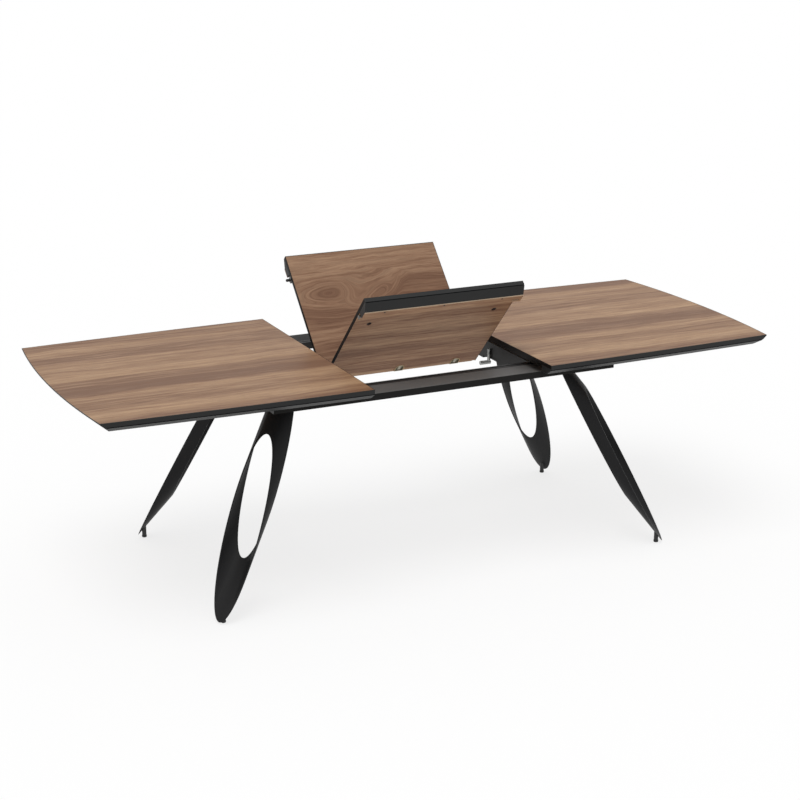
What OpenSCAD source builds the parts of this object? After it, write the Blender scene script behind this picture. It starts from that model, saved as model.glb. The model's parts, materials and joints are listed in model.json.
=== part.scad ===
// Extending dining table with a folding middle leaf, shown with both halves
// pulled out and the leaf standing open like a book. Millimetres, +Z up,
// +X along the table, origin on the floor below the middle of the table.

/* [Table top] */
// Height of the finished top above the floor
table_h = 760; // [740:2:790]
// Length of each half of the top, from its inner edge to the middle of its end
top_l = 950; // [800:10:1100]
// Half the width of the top at its inner edge
half_w = 502; // [490:1:520]
// How much narrower each side of the top is at its outer corners
end_taper = 26.5; // [22:0.5:36]
// How far the end of the top bows out beyond its corners
end_bow = 32; // [15:1:60]
// How far behind the inner edge the long sides are widest
side_arc_back = 332; // [250:2:400]
// Thickness of the veneered board
board_t = 13; // [12:0.5:15]
// Gap between the leaf and each half top when they are pulled out
leaf_clear = 32; // [30:1:50]

/* [Edge moulding] */
// Width of the thin lip that covers the edge of the board
lip_w = 2; // [1:0.5:3]
// Height of the upright outer face
face_h = 15.5; // [12:0.5:18]
// Depth of the shadow groove under the outer face
groove_d = 2; // [1:0.5:3]
// Height of the shadow groove
groove_h = 3; // [1:0.5:4]
// How far in the under-bevel reaches
bevel_w = 31; // [26:1:36]
// Depth of the inner end of the under-bevel below the top surface
bevel_drop = 37.5; // [34:0.5:39]
// Thickness of the veneered strip under the moulding
strip_t = 3.2; // [2:0.2:4]
// How far in the veneered strip reaches
base_in = 66; // [50:1:67]
// How far in the moulding reaches under the board
moulding_in = 67; // [67:1:72]

/* [Folding leaf] */
// Length of the leaf along the table
leaf_l = 600; // [560:2:600]
// Angle that each leaf panel stands above the horizontal
fold_angle = 46.5; // [45:0.5:50]
// How far the hinge line lies below the table top in this position
hinge_drop = 96; // [90:1:100]
// Half the gap between the panels at the hinge line
hinge_gap = 0.4; // [0.3:0.05:0.45]
// Radius of the hinge shaft
shaft_r = 2; // [1.8:0.1:2.2]
// Depth of the shaft centre below the top surface of the flat leaf
shaft_drop = 5.5; // [5.2:0.1:5.8]
// Thickness of the lip of board that closes over the shaft
cover_lip = 2.2; // [1.8:0.1:2.3]
// Radius of the channel that the shaft lies in
cove_r = 8.5; // [8.2:0.1:9.5]
// Diameter of each hinge cup
cup_l = 35; // [26:1:40]
// Depth of each hinge cup from the hinge line
cup_w = 37; // [30:1:42]
// Thickness of each hinge cup
cup_t = 10.5; // [9:0.5:12]
// Distance between neighbouring hinge cups
cup_pitch = 223; // [150:1:225]
// Offset of the middle hinge cup from the middle of the leaf, towards the left
cup_shift = 14; // [0:1:20]
// Distance from the long edge of the leaf to the latch inserts
insert_in = 148; // [130:1:170]
// Distance between the two latch inserts of a panel
insert_pitch = 478; // [420:2:500]
// Diameter of a latch insert
insert_d = 18; // [12:1:24]
// Depth of the pocket that holds a latch insert
insert_hole = 6; // [4:0.5:8]
// Gap between a register block and the moulding
block_gap = 10; // [9.5:0.5:11]
// Depth of the register pin below the top surface
pin_drop = 24; // [23.5:0.5:25]
// Radius of the register pin
pin_r = 5.5; // [3:0.5:5.5]
// How far the register pin stands out of the end of the leaf
pin_out = 16; // [10:1:18]
// Length of a register block along the table
block_l = 20; // [18:1:24]
// Width of a register block across the table
block_w = 20; // [16:1:22]
// Height of a register block below the board
block_h = 18; // [17:0.5:20]
// Distance between neighbouring screws of a veneered strip
strip_screw_pitch = 222; // [180:1:240]
// Offset of the middle strip screw from the middle of the leaf, towards the left
strip_screw_shift = 4; // [0:1:30]
// Distance from the long edge of the leaf to the strip screws
strip_screw_in = 37; // [36:1:60]
// Length of the catch slot in the strip
catch_l = 25; // [16:1:32]
// Width of the catch slot
catch_w = 5; // [4:0.5:8]
// Distance from the long edge of the leaf to the catch slot
catch_in = 55; // [50:1:60]
// Distance from the right end of the leaf to the catch slot
catch_end = 10; // [6:1:20]
// Length of the corner bracket at the left end of the front panel
corner_l = 17; // [12:1:24]
// Height of the corner bracket below the board
corner_h = 14; // [8:1:18]

/* [Swing arms] */
// Distance from the hinge line to the pivot of the arms
arm_reach = 200; // [170:2:240]
// Width of an arm along the table
arm_w = 12; // [8:1:16]
// Height of an arm at its pivot
arm_h = 10; // [7:0.5:11]
// Height of an arm at the hinge shaft
arm_head_h = 6; // [5.4:0.2:6]
// Distance from the end of the leaf to the outer face of an arm
arm_inset = 3; // [3:0.5:8]
// Radius of the pivot pin
pivot_r = 5; // [4:0.5:6]
// Radius of the pivot boss
boss_r = 9; // [8:0.5:11]
// Radial running clearance of the pivot
pivot_play = 0.05; // [0.02:0.01:0.1]

/* [Frame] */
// Length of the side rails
rail_l = 1292; // [1200:2:1340]
// Width of a side rail
rail_w = 90; // [70:1:90]
// Height of a side rail
rail_h = 25; // [22:0.5:28]
// Wall of the rails and of the end beams
rail_wall = 2.5; // [1.5:0.5:4]
// How far the rails stand in from the long sides of the top
rail_side = 102; // [100:0.5:104]
// Height of the top of the rails below the table top
rail_drop = 47; // [46:0.5:50]
// Width of a guide track
track_w = 28; // [24:1:32]
// How far a guide track stands above its rail
track_rise = 1; // [0:0.5:2]
// Distance from the ends of a rail to the ends of its guide track
track_end = 6; // [2:1:20]
// Width of the groove in a guide track
track_groove = 7; // [6:0.5:9]
// Depth of the groove in a guide track
groove_deep = 11; // [8:0.5:13]
// Side clearance of a slide bar in its groove
slide_play = 0.3; // [0.3:0.05:0.5]
// Length of the slide bars under the tops
slide_l = 600; // [400:5:680]
// Distance from the inner edge of a top to its slide bars
slide_in = 30; // [28:1:60]
// Width of the flange of a slide bar
slide_flange = 24; // [20:1:30]
// Thickness of the flange of a slide bar
slide_flange_t = 8; // [5:0.5:10]
// Distance from the inner edges of the tops to the face of a cross beam
beam_in = 35; // [33:1:48]
// Height of a cross beam
beam_h = 71; // [66:1:80]
// Depth of a cross beam along the table
beam_w = 25; // [20:1:40]
// Sheet thickness of a cross beam
beam_t = 3; // [2:0.5:4]
// Half the width of the raised middle of a cross beam
notch_half = 55; // [40:1:70]
// Height of the raised middle of a cross beam
notch_h = 10; // [6:1:14]
// Distance of the inner pair of flange screws from the middle of a cross beam
flange_screw_in = 77; // [60:1:100]
// Distance of the outer pair of flange screws from the ends of a cross beam
flange_screw_end = 50; // [36:1:70]
// Distance of the face screws from the middle of a cross beam
face_screw_y = 135; // [110:1:160]
// Height of the face screws above the lower edge of a cross beam
face_screw_up = 23; // [12:1:50]
// How much the lower edge of a cross beam rises at its ends
beam_rise = 16; // [10:1:20]
// Length of the rising part of that edge
beam_rise_l = 45; // [30:1:60]
// Distance from the ends of the rails to the middle of an end beam
end_beam_in = 114; // [108:1:120]
// Width of an end beam
end_beam_w = 84; // [82:1:100]

/* [Leaf stop] */
// Radius of the ribbed stem
stem_r = 6; // [4:0.5:7]
// Length of the stem above the middle of its peg
stem_h = 50; // [40:1:60]
// Radius of the peg
peg_r = 7.5; // [6:0.5:9]
// Length of the peg
peg_l = 42; // [30:1:48]
// Height of the peg below the top of the beam
peg_drop = 73; // [70:1:80]

/* [Legs] */
// Outer diameter of the tube that each leg is sliced from
leg_d = 137; // [124:1:142]
// Wall of the leg tube
leg_wall = 4; // [3:0.5:5]
// Lean of the two cuts that slice the leg from the tube
leg_cut_lean = 27.8; // [27.5:0.1:28.2]
// Direction that the legs lean in, from the length of the table
leg_azimuth = 34.75; // [33:0.25:36]
// Distance between the two cuts
leg_slice = 43.7; // [38:0.1:48]
// Height of the tip of a leg above the floor
leg_tip = 7.6; // [6:0.2:9]
// How much of the upper tip is cut off under the mounting plate
leg_cut_off = 73.2; // [60:0.2:80]
// How far the head of a leg leans out beyond the middle of its mounting plate
leg_head_out = 26.5; // [20:0.1:30]
// Thickness of a leg's mounting plate
plate_t = 6; // [4:0.5:8]
// Length of a mounting plate along the table
plate_l = 72; // [68:1:80]
// Width of a mounting plate across the table
plate_w = 96; // [92:1:110]
// Distance from the end of an end beam to the middle of a mounting plate
plate_in = 79; // [70:1:90]
// Half the distance between the bolts of a mounting plate, along the table
plate_bolt_x = 30; // [28:0.5:31]
// Half the distance between the bolts of a mounting plate, across the table
plate_bolt_y = 42; // [40:0.5:43]
// Radius of a glide
glide_r = 8; // [6:0.5:10]
// How far a glide stands in from the reach of the leg's tip
glide_in = 3; // [1:0.5:5]
// Height of the plastic shoe of a glide
shoe_h = 9; // [5:1:12]

/* [Hidden] */

veneer_colour = [0.62, 0.48, 0.38];
moulding_colour = [0.17, 0.18, 0.19];
edge_colour = [0.13, 0.10, 0.09];
steel_colour = [0.20, 0.20, 0.21];
rail_colour = [0.34, 0.32, 0.31];
zinc_colour = [0.72, 0.72, 0.70];

round_fn = 64;
far = 4000;

// Outline of a half top: its two long sides and its end are arcs
top_gap = leaf_l + 2 * leaf_clear;
end_half_w = half_w - end_taper;
corner_u = top_l - end_bow;
end_r = (end_half_w * end_half_w + end_bow * end_bow) / (2 * end_bow);
side_c = (pow(corner_u + side_arc_back, 2) + pow(end_half_w, 2)
    - pow(side_arc_back, 2) - pow(half_w, 2)) / (2 * (half_w - end_half_w));
side_r = sqrt(pow(side_arc_back, 2) + pow(half_w + side_c, 2));
side_fn = 2400;
end_fn = 720;
end_turn = asin(end_half_w / end_r) + 1;
mitre_side = asin((corner_u + side_arc_back) / side_r);
side_turn = mitre_side + 0.005;
mitre_end = asin(end_half_w / end_r);
mitre_turn = 45 + (mitre_end - mitre_side) / 2;
side_start = asin(side_arc_back / side_r);

under_board = table_h - board_t;
edging_t = 1.5;
cup_top = board_t + 1.5 - cup_t;
inner_strip_t = 10;
inner_strip_w = 24;
inner_strip_half = half_w - moulding_in - block_gap - block_w - 1.5;

// Leaf and swing arms
leaf_w = half_w;
pin_s = leaf_w - moulding_in - block_gap - block_w / 2;
strip_head_r = 3;
strip_head_h = 1.2;
hinge_z = table_h - hinge_drop;
pivot_z = table_h - hinge_drop / 2;
arm_turn = 2 * atan(hinge_drop / 2 / arm_reach);
arm_x0 = leaf_l / 2 - arm_inset - arm_w;
arm_slope = (table_h - pivot_z - shaft_drop) / arm_reach;
notch_half_y = arm_head_h / 2 + 0.4;
arm_notch_l = (board_t - shaft_drop + arm_head_h) / arm_slope;
fit_gap = 0.05;

// Frame heights and widths
rail_out = half_w - rail_side;
rail_z1 = table_h - rail_drop;
rail_z0 = rail_z1 - rail_h;
rail_in = rail_out - rail_w;
track_in = rail_in - track_w;
track_y = track_in + track_w / 2;
track_l = rail_l - 2 * track_end;
groove_z = rail_z1 + track_rise - groove_deep;
slide_web = track_groove - 2 * slide_play;
bearing_gap = 0.3;
cap_t = 2;
cap_in = 12;
lug_half = 14;
lug_h = pivot_z + 12 - rail_z1;
bolt_r = 3;
bolt_head_r = 5.5;
bolt_head_h = 4;
beam_x = top_gap / 2 + beam_in;
end_beam_x = rail_l / 2 - end_beam_in;
beam_bolt_x = beam_x + beam_w - 9;
beam_bolt_z = rail_z0 + rail_h / 2;
screw_r = 2;
screw_head_r = 4;
screw_head_h = 2;
screw_bite = 6;
screw_count = 5;
stem_x = beam_x - stem_r - 0.3;
peg_z = rail_z1 - peg_drop;
saddle_w = 3;

// The uncut ring runs from tip to tip; its reach is measured along the cuts
leg_tube_l = 1600;
leg_top = rail_z0 - plate_t;
leg_rise = leg_top + leg_cut_off - leg_tip;
leg_reach = (leg_rise + leg_slice * sin(leg_cut_lean)) / (2 * cos(leg_cut_lean));
leg_tube_lean = leg_cut_lean + atan(leg_slice / (2 * leg_reach))
    + asin(leg_d / norm([2 * leg_reach, leg_slice]));
leg_z = leg_tip + leg_rise / 2;
plate_y = track_in - plate_in;
leg_out = leg_head_out + (leg_top - leg_z) * tan(leg_cut_lean);
leg_x = end_beam_x + leg_out * cos(leg_azimuth);
leg_y = plate_y + leg_out * sin(leg_azimuth);
glide_out = leg_out + leg_reach * sin(leg_cut_lean) - glide_in;
glide_x = end_beam_x + glide_out * cos(leg_azimuth);
glide_y = plate_y + glide_out * sin(leg_azimuth);
stud_l = 60;

// Section of the edge moulding: distance in from the outer face, depth below the top
base_drop = bevel_drop + strip_t;
bevel_start = 1;
moulding_section = [
    [0, 0],
    [lip_w, 0],
    [lip_w, board_t],
    [moulding_in, board_t],
    [base_in, bevel_drop],
    [bevel_w, bevel_drop],
    [bevel_start, face_h + groove_h],
    [groove_d, face_h + groove_h],
    [groove_d, face_h],
    [0, face_h]
];

module at_left() {
    mirror([1, 0, 0]) children();
}

module at_front() {
    mirror([0, 1, 0]) children();
}

// Everything of a half top is drawn for the right half, from its inner edge
module right_half() {
    translate([top_gap / 2, 0, 0]) children();
}

module front_leaf() {
    translate([0, 0, hinge_z]) rotate([-fold_angle, 0, 0]) at_front() children();
}

module rear_leaf() {
    translate([0, 0, hinge_z]) rotate([fold_angle, 0, 0]) children();
}

// A section in (y, z) carried along X from x0
module along_x(x0, length) {
    translate([x0, 0, 0]) rotate([90, 0, 90]) linear_extrude(length) children();
}

module top_outline(shrink) {
    intersection() {
        translate([-side_arc_back, -side_c]) rotate(90 - side_start) circle(side_r - shrink, $fn = 3600);
        translate([-side_arc_back, side_c]) rotate(side_start - 90) circle(side_r - shrink, $fn = 3600);
        translate([top_l - end_r, 0]) circle(end_r - shrink, $fn = end_fn);
        translate([edging_t, -far / 2]) square([far, far]);
    }
}

function screw_u(i) = slide_in + 30 + i * (slide_l - 60) / (screw_count - 1);

module screw_places() {
    for (i = [0 : screw_count - 1], side = [-1, 1], across = [-1, 1])
        translate([screw_u(i), side * (track_y + across * 8), 0]) children();
}

module top_board() {
    color(veneer_colour) difference() {
        translate([0, 0, under_board]) linear_extrude(board_t) top_outline(lip_w + fit_gap);
        screw_places() translate([0, 0, under_board - 1])
            cylinder(r = screw_r + fit_gap, h = screw_bite + 2, $fn = 24);
    }
}

// Heights are taken from the ledge that the board rests on
module moulding_profile(radius) {
    polygon([for (p = moulding_section) [radius - p[0], board_t - p[1]]]);
}

// Big block on the inner side of the mitre at the rear outer corner
module mitre_block() {
    translate([corner_u, end_half_w, 0]) rotate(180 + mitre_turn)
        translate([-far, 0, 0]) cube([2 * far, far, far]);
}

module rear_moulding() {
    color(moulding_colour) difference() {
        translate([-side_arc_back, -side_c, under_board]) rotate(90 - side_turn)
            rotate_extrude(angle = side_turn - side_start + 0.01, $fn = side_fn) moulding_profile(side_r);
        mitre_block();
        translate([-far, 0, 0]) cube([far, far, far]);
    }
}

module end_moulding() {
    color(moulding_colour) intersection() {
        translate([top_l - end_r, 0, under_board]) rotate(-end_turn)
            rotate_extrude(angle = 2 * end_turn, $fn = end_fn) moulding_profile(end_r);
        mitre_block();
        at_front() mitre_block();
    }
}

module inner_edge() {
    edge_half = half_w - lip_w - 0.2;
    color(edge_colour) {
        translate([0, -edge_half, under_board]) cube([edging_t, 2 * edge_half, board_t]);
        translate([0, -inner_strip_half, under_board - inner_strip_t])
            cube([inner_strip_w, 2 * inner_strip_half, inner_strip_t]);
    }
}

// T-shaped bar: the flange is screwed under the board, the web runs in the track
module slide_bar() {
    color(steel_colour) difference() {
        translate([slide_in, 0, 0]) {
            translate([0, track_y - slide_flange / 2, under_board - slide_flange_t])
                cube([slide_l, slide_flange, slide_flange_t]);
            translate([0, track_y - slide_web / 2, groove_z + bearing_gap])
                cube([slide_l, slide_web, under_board - slide_flange_t - groove_z]);
        }
        screw_places() translate([0, 0, under_board - slide_flange_t - 1])
            cylinder(r = screw_r + fit_gap, h = slide_flange_t + 2, $fn = 24);
    }
}

module top_screws() {
    color(zinc_colour) screw_places() {
        translate([0, 0, under_board - slide_flange_t - screw_head_h])
            cylinder(r = screw_head_r, h = screw_head_h, $fn = 32);
        translate([0, 0, under_board - slide_flange_t])
            cylinder(r = screw_r, h = slide_flange_t + screw_bite, $fn = 24);
    }
}

// Block below a board with its inner end at x0, bored along X at the register pin
module register_block(x0, bore_r) {
    difference() {
        translate([x0, pin_s - block_w / 2, -board_t - block_h]) cube([block_l, block_w, block_h]);
        translate([x0 - 1, pin_s, -pin_drop]) rotate([0, 90, 0])
            cylinder(r = bore_r, h = block_l + 2, $fn = round_fn);
    }
}

// Block under the inner edge of the left top that takes the pin when the top closes on the leaf
module top_socket() {
    color(zinc_colour) translate([0, 0, table_h]) register_block(0, pin_r + bearing_gap);
}

// Leaf parts are drawn flat, with the hinge line at the origin and the panel along +Y
module shaft_channel() {
    intersection() {
        translate([-leaf_l, 0, 0]) rotate([0, 90, 0]) cylinder(r = cove_r, h = 2 * leaf_l, $fn = round_fn);
        translate([-leaf_l, -far / 2, -far - cover_lip]) cube([2 * leaf_l, far, far]);
    }
}

// Notches for the heads of the arms, which run on into the board for a length of reach
module arm_notches(reach) {
    for (side = [-1, 1])
        along_x(side * (arm_x0 + arm_w / 2) - arm_w / 2 - 0.5, arm_w + 1)
            polygon([
                [-1, -cover_lip],
                [notch_half_y, -cover_lip],
                [max(reach, notch_half_y), -board_t],
                [max(reach, notch_half_y), -board_t - 1],
                [-1, -board_t - 1]
            ]);
}

module cup_places() {
    for (i = [-1 : 1]) translate([i * cup_pitch - cup_shift, 0, 0]) children();
}

module insert_places() {
    for (side = [-1, 1]) translate([side * insert_pitch / 2, leaf_w - insert_in, -board_t]) children();
}

// Round cup, straight from its middle to the hinge line
module cup_outline() {
    cup_mid = cup_w - cup_l / 2;
    translate([-cup_l / 2, hinge_gap]) square([cup_l, cup_mid - hinge_gap]);
    translate([0, cup_mid]) circle(cup_l / 2, $fn = round_fn);
}

module leaf_board(notch_reach) {
    color(veneer_colour) difference() {
        translate([-leaf_l / 2 + edging_t, hinge_gap, -board_t])
            cube([leaf_l - 2 * edging_t, leaf_w - lip_w - hinge_gap, board_t]);
        shaft_channel();
        arm_notches(notch_reach);
        cup_places() translate([0, 0, -board_t - 1]) linear_extrude(board_t + 1 - cup_top) cup_outline();
        insert_places() translate([0, 0, -1]) cylinder(d = insert_d, h = insert_hole + 1, $fn = round_fn);
    }
}

module leaf_moulding() {
    color(moulding_colour) difference() {
        along_x(-leaf_l / 2, leaf_l) polygon([for (p = moulding_section) [leaf_w - p[0], -p[1]]]);
        strip_screw_holes();
    }
}

// Veneered strip under the moulding, with its screws and the slot of the catch
module leaf_strip() {
    color(veneer_colour) difference() {
        translate([-leaf_l / 2, leaf_w - base_in, -base_drop]) cube([leaf_l, base_in - bevel_w, strip_t]);
        strip_screw_holes();
        translate([leaf_l / 2 - catch_end - catch_l, leaf_w - catch_in - catch_w / 2, -base_drop - 1])
            cube([catch_l, catch_w, strip_t + 2]);
    }
}

module leaf_edging() {
    color(edge_colour) difference() {
        for (x = [-leaf_l / 2, leaf_l / 2 - edging_t])
            translate([x, hinge_gap, -board_t]) cube([edging_t, leaf_w - lip_w - hinge_gap, board_t]);
        shaft_channel();
    }
}

module hinge_cups() {
    color(zinc_colour) difference() {
        cup_places() translate([0, 0, -cup_top - cup_t]) linear_extrude(cup_t) cup_outline();
        shaft_channel();
    }
}

module leaf_inserts() {
    color("black") insert_places() translate([0, 0, 2])
        cylinder(d = insert_d, h = insert_hole - 2, $fn = round_fn);
}

module pin_block() {
    color(zinc_colour) register_block(-leaf_l / 2, pin_r);
}

// Wedge of sheet at the left end of the front panel
module corner_bracket() {
    color(zinc_colour) translate([-leaf_l / 2, pin_s + 6, -board_t]) rotate([90, 0, 0]) linear_extrude(10)
        polygon([[0, 0], [corner_l, 0], [0, -corner_h]]);
}

module strip_screw_places() {
    for (i = [-1 : 1])
        translate([i * strip_screw_pitch - strip_screw_shift, leaf_w - strip_screw_in, -base_drop]) children();
}

module strip_screw_holes() {
    strip_screw_places() translate([0, 0, -1])
        cylinder(r = screw_r + fit_gap, h = strip_t + screw_bite + 2, $fn = 24);
}

module strip_screws() {
    color("black") strip_screw_places() {
        translate([0, 0, -strip_head_h]) cylinder(r = strip_head_r, h = strip_head_h, $fn = 32);
        cylinder(r = screw_r, h = strip_t + screw_bite, $fn = 24);
    }
}

module leaf_pin() {
    pin_l = pin_out + block_l - pin_r;
    color("black") translate([-leaf_l / 2 + block_l, pin_s, -pin_drop]) rotate([0, -90, 0]) {
        cylinder(r = pin_r, h = pin_l, $fn = round_fn);
        translate([0, 0, pin_l]) sphere(pin_r, $fn = round_fn);
    }
}

// Swing arms are drawn for the flat leaf, about their pivot, then turned down
module arm_pose() {
    translate([0, arm_reach, pivot_z]) rotate([arm_turn, 0, 0])
        translate([0, -arm_reach, table_h - pivot_z]) children();
}

module hinge_shaft() {
    color(zinc_colour) arm_pose() translate([-arm_x0 - arm_w, 0, -shaft_drop]) rotate([0, 90, 0])
        cylinder(r = shaft_r, h = 2 * (arm_x0 + arm_w), $fn = round_fn);
}

module tapered_bar(from, to, from_w, to_w) {
    run = to - from;
    translate(from) rotate(atan2(run[1], run[0]))
        polygon([[0, -from_w / 2], [norm(run), -to_w / 2], [norm(run), to_w / 2], [0, from_w / 2]]);
}

module arm_section() {
    pivot = [arm_reach, pivot_z - table_h];
    head = [0, -shaft_drop];
    difference() {
        union() {
            translate(head) circle(arm_head_h / 2, $fn = round_fn);
            tapered_bar(head, pivot, arm_head_h, arm_h);
            translate(pivot) circle(boss_r, $fn = round_fn);
        }
        translate(head) circle(shaft_r + fit_gap, $fn = round_fn);
        translate(pivot) circle(pivot_r + pivot_play, $fn = round_fn);
    }
}

module swing_arm() {
    color(steel_colour) arm_pose() along_x(arm_x0, arm_w) arm_section();
}

// Shoulder pin fixed in the cross beam; its thin end carries the arm
module arm_pivot() {
    shoulder_x = arm_x0 + arm_w + 0.3;
    head_x = arm_x0 - 0.3 - 4;
    color(zinc_colour) translate([0, arm_reach, pivot_z]) rotate([0, 90, 0]) {
        translate([0, 0, head_x]) cylinder(r = boss_r - 1, h = 4, $fn = round_fn);
        translate([0, 0, head_x]) cylinder(r = pivot_r, h = shoulder_x - head_x, $fn = round_fn);
        translate([0, 0, shoulder_x]) cylinder(r = boss_r - 1, h = beam_x - shoulder_x, $fn = round_fn);
    }
}

module rear_rail() {
    color(rail_colour) translate([-rail_l / 2, rail_in, rail_z0]) difference() {
        cube([rail_l, rail_w, rail_h]);
        translate([-1, rail_wall, rail_wall])
            cube([rail_l + 2, rail_w - 2 * rail_wall, rail_h - 2 * rail_wall]);
    }
}

module rail_caps() {
    color("black") for (end = [0, 1], side = [0, 1])
        mirror([end, 0, 0]) mirror([0, side, 0]) {
            translate([rail_l / 2, rail_in, rail_z0]) cube([cap_t, rail_w, rail_h]);
            translate([rail_l / 2 - cap_in, rail_in + rail_wall, rail_z0 + rail_wall])
                cube([cap_in, rail_w - 2 * rail_wall, rail_h - 2 * rail_wall]);
        }
}

module guide_track() {
    color("black") translate([-track_l / 2, track_in, rail_z0]) difference() {
        cube([track_l, track_w, rail_h + track_rise]);
        translate([-1, (track_w - track_groove) / 2, groove_z - rail_z0])
            cube([track_l + 2, track_groove, rail_h]);
    }
}

// Pressed channel between the guide tracks, raised in the middle for the leaf
module cross_beam() {
    beam_z0 = rail_z1 - beam_h;
    color(steel_colour) difference() {
        union() {
            translate([beam_x, -track_in, beam_z0]) cube([beam_t, 2 * track_in, beam_h]);
            translate([beam_x, -track_in, rail_z1 - beam_t]) cube([beam_w, 2 * track_in, beam_t]);
            translate([beam_x, -track_in, beam_z0]) cube([beam_w, 2 * track_in, beam_t]);
            for (y = [-track_in, track_in - beam_t])
                translate([beam_x, y, beam_z0]) cube([beam_w, beam_t, beam_h]);
            translate([beam_x, arm_reach - lug_half, rail_z1 - beam_t])
                cube([beam_t, 2 * lug_half, lug_h + beam_t]);
            translate([stem_x, -saddle_w, peg_z + peg_r + 6]) cube([beam_x - stem_x, 2 * saddle_w, stem_h - 18]);
        }
        translate([beam_x - 1, -notch_half, beam_z0 - 1]) cube([beam_w + 2, 2 * notch_half, notch_h + 1]);
        for (side = [0, 1]) mirror([0, side, 0]) beam_end_cut(beam_z0);
        translate([stem_x, 0, 0]) cylinder(r = stem_r + fit_gap, h = table_h, $fn = round_fn);
        for (side = [-1, 1])
            translate([beam_bolt_x, side * (track_in + 1), beam_bolt_z]) rotate([side * 90, 0, 0])
                cylinder(r = bolt_r + fit_gap, h = beam_t + 2, $fn = round_fn);
        flange_screw_places() cylinder(r = screw_r + fit_gap, h = 3 * beam_t, center = true, $fn = 24);
        face_screw_places() cylinder(r = screw_r + fit_gap, h = 3 * beam_t, center = true, $fn = 24);
    }
}

// Wedge below the rising end of the lower edge of a cross beam
module beam_end_cut(z0) {
    along_x(beam_x - 1, beam_w + 2)
        polygon([
            [track_in - beam_rise_l, z0 - 1],
            [track_in - beam_rise_l, z0],
            [track_in + 1, z0 + beam_rise * (1 + 1 / beam_rise_l)],
            [track_in + 1, z0 - 1]
        ]);
}

module end_beam() {
    color(steel_colour) difference() {
        translate([end_beam_x - end_beam_w / 2, -track_in, rail_z0]) cube([end_beam_w, 2 * track_in, rail_h]);
        translate([end_beam_x - end_beam_w / 2 + rail_wall, -track_in - 1, rail_z0 + rail_wall])
            cube([end_beam_w - 2 * rail_wall, 2 * track_in + 2, rail_h - 2 * rail_wall]);
        leg_bolt_places() translate([0, 0, rail_z0 - 1]) cylinder(r = bolt_r + fit_gap, h = rail_wall + 2, $fn = round_fn);
    }
}

module beam_bolts() {
    color(zinc_colour) for (end = [0, 1], side = [0, 1]) mirror([end, 0, 0]) mirror([0, side, 0])
        translate([beam_bolt_x, track_in - beam_t, beam_bolt_z]) rotate([90, 0, 0]) {
            cylinder(r = bolt_head_r, h = bolt_head_h, $fn = 6);
            translate([0, 0, -beam_t]) cylinder(r = bolt_r, h = beam_t, $fn = round_fn);
        }
}

module flange_screw_places() {
    for (side = [-1, 1], y = [flange_screw_in, track_in - flange_screw_end])
        translate([beam_x + screw_head_r, side * y, rail_z1]) children();
}

module face_screw_places() {
    for (side = [-1, 1])
        translate([beam_x, side * face_screw_y, rail_z1 - beam_h + face_screw_up]) rotate([0, -90, 0]) children();
}

// Pan-head screw standing on its face at the origin, with its thread below
module beam_screw() {
    cylinder(r = screw_head_r, h = screw_head_h, $fn = 32);
    translate([0, 0, -beam_t]) cylinder(r = screw_r, h = beam_t, $fn = 24);
}

module beam_screws() {
    color(zinc_colour) for (end = [0, 1]) mirror([end, 0, 0]) {
        flange_screw_places() beam_screw();
        face_screw_places() beam_screw();
    }
}

module stop_stem() {
    color(zinc_colour) difference() {
        translate([stem_x, 0, peg_z]) {
            cylinder(r = stem_r, h = stem_h - stem_r, $fn = round_fn);
            translate([0, 0, stem_h - stem_r]) sphere(stem_r, $fn = round_fn);
        }
        translate([0, 0, peg_z]) rotate([0, 90, 0]) cylinder(r = peg_r, h = far, $fn = round_fn);
    }
}

module stop_peg() {
    color(zinc_colour) translate([beam_x - peg_l, 0, peg_z]) rotate([0, 90, 0])
        cylinder(r = peg_r, h = peg_l, $fn = round_fn);
}

// A leg is a slice, cut at a slant, of a leaning round tube
module leg_tube(r) {
    translate([leg_x, leg_y, leg_z]) rotate([0, -leg_tube_lean, leg_azimuth]) rotate(90)
        cylinder(r = r, h = leg_tube_l, center = true, $fn = 128);
}

module leg_slab() {
    translate([leg_x, leg_y, leg_z]) rotate([0, 90 - leg_cut_lean, leg_azimuth])
        cube([far, far, leg_slice], center = true);
}

module leg() {
    color(steel_colour) intersection() {
        difference() {
            leg_tube(leg_d / 2);
            leg_tube(leg_d / 2 - leg_wall);
        }
        leg_slab();
        translate([0, 0, 0]) cube([far, far, leg_top]);
    }
}

module leg_bolt_places() {
    for (side = [-1, 1], dx = [-plate_bolt_x, plate_bolt_x], dy = [-plate_bolt_y, plate_bolt_y])
        translate([end_beam_x + dx, side * plate_y + dy, 0]) children();
}

module leg_plates() {
    color(steel_colour) for (end = [0, 1]) mirror([end, 0, 0]) difference() {
        for (side = [-1, 1])
            translate([end_beam_x - plate_l / 2, side * plate_y - plate_w / 2, leg_top])
                cube([plate_l, plate_w, plate_t]);
        leg_bolt_places() translate([0, 0, leg_top - 1]) cylinder(r = bolt_r + fit_gap, h = plate_t + 2, $fn = round_fn);
    }
}

module leg_bolts() {
    color(zinc_colour) for (end = [0, 1]) mirror([end, 0, 0]) leg_bolt_places() {
        translate([0, 0, leg_top - bolt_head_h]) cylinder(r = bolt_head_r, h = bolt_head_h, $fn = 6);
        translate([0, 0, leg_top]) cylinder(r = bolt_r, h = plate_t + rail_wall, $fn = round_fn);
    }
}

// The stud stands under the wall of the leg and ends on it
module glide_studs() {
    color("black") for (end = [0, 1], side = [0, 1]) mirror([end, 0, 0]) mirror([0, side, 0])
        difference() {
            translate([glide_x, glide_y, shoe_h]) cylinder(r = glide_r, h = stud_l, $fn = round_fn);
            leg_tube(leg_d / 2);
            above_leg_wall();
        }
}

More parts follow.
